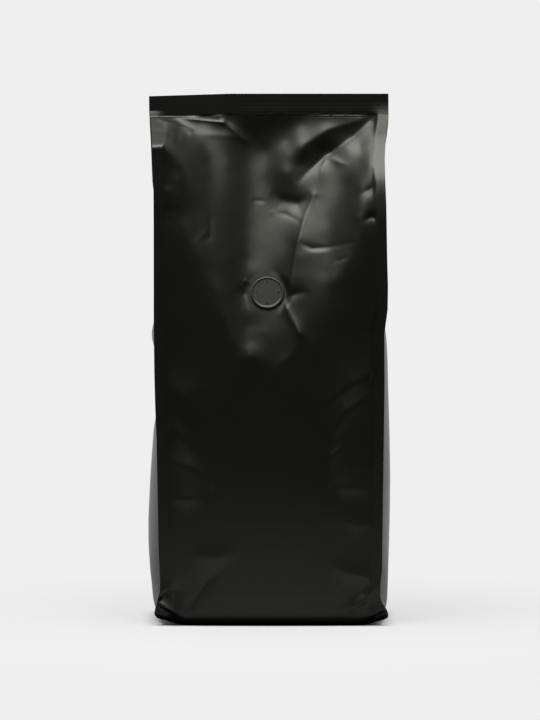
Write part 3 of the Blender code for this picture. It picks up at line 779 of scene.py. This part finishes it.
def studio_world(stage):
    """Even pale backdrop, with a dark room in front of the bag and pale walls behind and beside it."""
    world = bpy.data.worlds.new("studio")
    bpy.context.scene.world = world
    world.use_nodes = True
    tree = world.node_tree
    tree.nodes.clear()
    output = tree.nodes.new("ShaderNodeOutputWorld")
    place = tree.nodes.new("ShaderNodeTexCoord")
    split = tree.nodes.new("ShaderNodeSeparateXYZ")
    tree.links.new(place.outputs["Generated"], split.inputs["Vector"])
    walls = remap(tree, split.outputs["Y"], WALLS_SPAN, stage.room_front, stage.backdrop, smooth=True)
    ceiling = remap(tree, split.outputs["Z"], CEILING_SPAN, high=stage.ceiling, smooth=True)
    room = tree.nodes.new("ShaderNodeBackground")
    room.inputs["Color"].default_value = (1, 1, 1, 1)
    tree.links.new(calculate(tree, "MAXIMUM", walls, ceiling), room.inputs["Strength"])
    plain = tree.nodes.new("ShaderNodeBackground")
    plain.inputs["Color"].default_value = (1, 1, 1, 1)
    plain.inputs["Strength"].default_value = stage.backdrop
    seen = tree.nodes.new("ShaderNodeLightPath").outputs["Is Camera Ray"]
    mix = mix_shaders(tree, seen, room.outputs["Background"], plain.outputs["Background"])
    tree.links.new(mix, output.inputs["Surface"])


def softbox(name, place, aim, size, power):
    light = bpy.data.lights.new(name, "AREA")
    light.shape = "RECTANGLE"
    light.size, light.size_y = size
    light.energy = power
    lamp = bpy.data.objects.new(name, light)
    lamp.location = place
    lamp.rotation_euler = (Vector(aim) - Vector(place)).to_track_quat("-Z", "Y").to_euler()
    bpy.context.scene.collection.objects.link(lamp)
    return lamp


class CoffeeBagFinish(bpy.types.PropertyGroup):
    """Sizes and colours of the bag's film and valve."""

    film_colour: FloatVectorProperty(
        name="Film colour", description="Base colour of the black film", subtype="COLOR",
        default=(0.0018, 0.0018, 0.0016), min=0, max=1)
    valve_colour: FloatVectorProperty(
        name="Valve colour", description="Base colour of the valve's plastic", subtype="COLOR",
        default=(0.014, 0.014, 0.013), min=0, max=1)
    roughness: FloatProperty(
        name="Roughness", description="How satin the film is", default=0.38, min=0, max=1, subtype="FACTOR")
    grain_strength: FloatProperty(
        name="Grain", description="Strength of the film's drawn grain", default=0.25, min=0, max=1,
        subtype="FACTOR")


class CoffeeBagStage(bpy.types.PropertyGroup):
    """Sizes and tones of the floor, the light and the camera."""

    backdrop: FloatProperty(
        name="Backdrop", description="Tone of the backdrop", default=0.862, min=0, max=1, subtype="FACTOR")
    room_front: FloatProperty(
        name="Dark room", description="Tone of the room in front of the bag", default=0.02, min=0, max=1,
        subtype="FACTOR")
    ceiling: FloatProperty(
        name="Ceiling", description="Tone of the room above the camera", default=0.19, min=0, max=1,
        subtype="FACTOR")
    floor_albedo: FloatProperty(
        name="Floor tone", description="How pale the floor is", default=0.62, min=0, max=1, subtype="FACTOR")
    floor_bounce: FloatProperty(
        name="Floor bounce", description="Share of the floor's glow that lights the bag", default=0.5,
        min=0, max=1, subtype="FACTOR")
    floor_radius: FloatProperty(
        name="Floor radius", description="Radius of the round floor", default=0.36, min=0.1, unit="LENGTH")
    shadow_share: FloatProperty(
        name="Shadow share", description="How much of the floor's tone comes from the light falling on it",
        default=0.34, min=0, max=1, subtype="FACTOR")
    fade_start: FloatProperty(
        name="Fade start", description="Where the floor starts to run into the backdrop", default=0.13,
        min=0, unit="LENGTH")
    fade_end: FloatProperty(
        name="Fade end", description="Where the floor has the backdrop's tone", default=0.34, min=0,
        unit="LENGTH")
    contact_start: FloatProperty(
        name="Contact start", description="How far from the base the floor's contact shade begins to fade",
        default=0.008, min=0, unit="LENGTH")
    contact_end: FloatProperty(
        name="Contact end", description="How far from the base the contact shade ends", default=0.026, min=0,
        unit="LENGTH")
    softbox_power: FloatProperty(
        name="Softbox", description="Power of the overhead softbox", default=21.0, min=0, unit="POWER")
    camera_distance: FloatProperty(
        name="Camera distance", description="How far the camera stands in front of the bag", default=2.2,
        min=0.5, unit="LENGTH")
    camera_height: FloatProperty(
        name="Camera height", description="How high the camera stands", default=0.22, min=0, unit="LENGTH")
    aim_height: FloatProperty(
        name="Aim height", description="Height of the point in the picture's middle", default=0.1553, min=0,
        unit="LENGTH")
    aim_side: FloatProperty(
        name="Aim side", description="How far right of the bag's middle the camera looks", default=0.0007,
        unit="LENGTH")
    lens: FloatProperty(
        name="Lens", description="Focal length on a 36 mm tall frame", default=183.75, min=1)


class COFFEEBAG_OT_film(bpy.types.Operator):
    """Builds the creased film of the bag over its solid"""

    bl_idname = "coffee_bag.film"
    bl_label = "Bag film"

    def execute(self, context):
        finish = context.scene.coffee_bag_finish
        mesh = film_mesh(SlackSheet())
        piece = bpy.data.objects.new("bag_film", mesh)
        mesh.materials.append(film_material(finish))
        context.scene.collection.objects.link(piece)
        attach(piece, "root")
        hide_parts("bag_body")
        return {"FINISHED"}


class COFFEEBAG_OT_valve(bpy.types.Operator):
    """Gives the degassing valve its finish"""

    bl_idname = "coffee_bag.valve"
    bl_label = "Degassing valve"

    def execute(self, context):
        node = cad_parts["degassing_valve"]
        node.data.materials.clear()
        node.data.materials.append(valve_material(context.scene.coffee_bag_finish))
        return {"FINISHED"}


class COFFEEBAG_OT_stage(bpy.types.Operator):
    """Builds the floor, the studio light and the camera"""

    bl_idname = "coffee_bag.stage"
    bl_label = "Stage"

    def execute(self, context):
        scene = context.scene
        stage = scene.coffee_bag_stage
        bm = bmesh.new()
        bmesh.ops.create_circle(bm, cap_ends=True, radius=stage.floor_radius, segments=128)
        mesh = bpy.data.meshes.new("floor")
        bm.to_mesh(mesh)
        bm.free()
        floor = bpy.data.objects.new("floor", mesh)
        mesh.materials.append(floor_material(stage))
        scene.collection.objects.link(floor)
        studio_world(stage)
        softbox("overhead softbox", SOFTBOX_PLACE, SOFTBOX_AIM, SOFTBOX_SIZE, stage.softbox_power)
        camera = bpy.data.cameras.new("camera")
        camera.lens = stage.lens
        camera.sensor_fit = "VERTICAL"
        camera.sensor_height = 36
        camera.clip_end = 20
        eye = Vector((stage.aim_side, -stage.camera_distance, stage.camera_height))
        aim = Vector((stage.aim_side, 0, stage.aim_height))
        view = bpy.data.objects.new("camera", camera)
        view.location = eye
        view.rotation_euler = (aim - eye).to_track_quat("-Z", "Y").to_euler()
        scene.collection.objects.link(view)
        scene.camera = view
        scene.view_settings.view_transform = "Standard"
        return {"FINISHED"}


class COFFEEBAG_PT_panel(bpy.types.Panel):
    """Lists the bag's pieces, sizes and colours"""

    bl_label = "Coffee Bag"
    bl_idname = "COFFEEBAG_PT_panel"
    bl_space_type = "VIEW_3D"
    bl_region_type = "UI"
    bl_category = "Coffee Bag"

    def draw(self, context):
        layout = self.layout
        for operator in OPERATORS:
            layout.operator(operator.bl_idname)
        for group in (context.scene.coffee_bag_finish, context.scene.coffee_bag_stage):
            for name in group.bl_rna.properties.keys():
                if name not in ("rna_type", "name"):
                    layout.prop(group, name)


OPERATORS = (COFFEEBAG_OT_film, COFFEEBAG_OT_valve, COFFEEBAG_OT_stage)
CLASSES = (CoffeeBagFinish, CoffeeBagStage, *OPERATORS, COFFEEBAG_PT_panel)


def register():
    for cls in CLASSES:
        bpy.utils.register_class(cls)
    bpy.types.Scene.coffee_bag_finish = PointerProperty(type=CoffeeBagFinish)
    bpy.types.Scene.coffee_bag_stage = PointerProperty(type=CoffeeBagStage)


def unregister():
    del bpy.types.Scene.coffee_bag_stage
    del bpy.types.Scene.coffee_bag_finish
    for cls in reversed(CLASSES):
        bpy.utils.unregister_class(cls)


def main():
    register()
    bpy.ops.coffee_bag.film()
    bpy.ops.coffee_bag.valve()
    bpy.ops.coffee_bag.stage()
    bpy.context.view_layer.update()


if __name__ == "__main__":
    main()
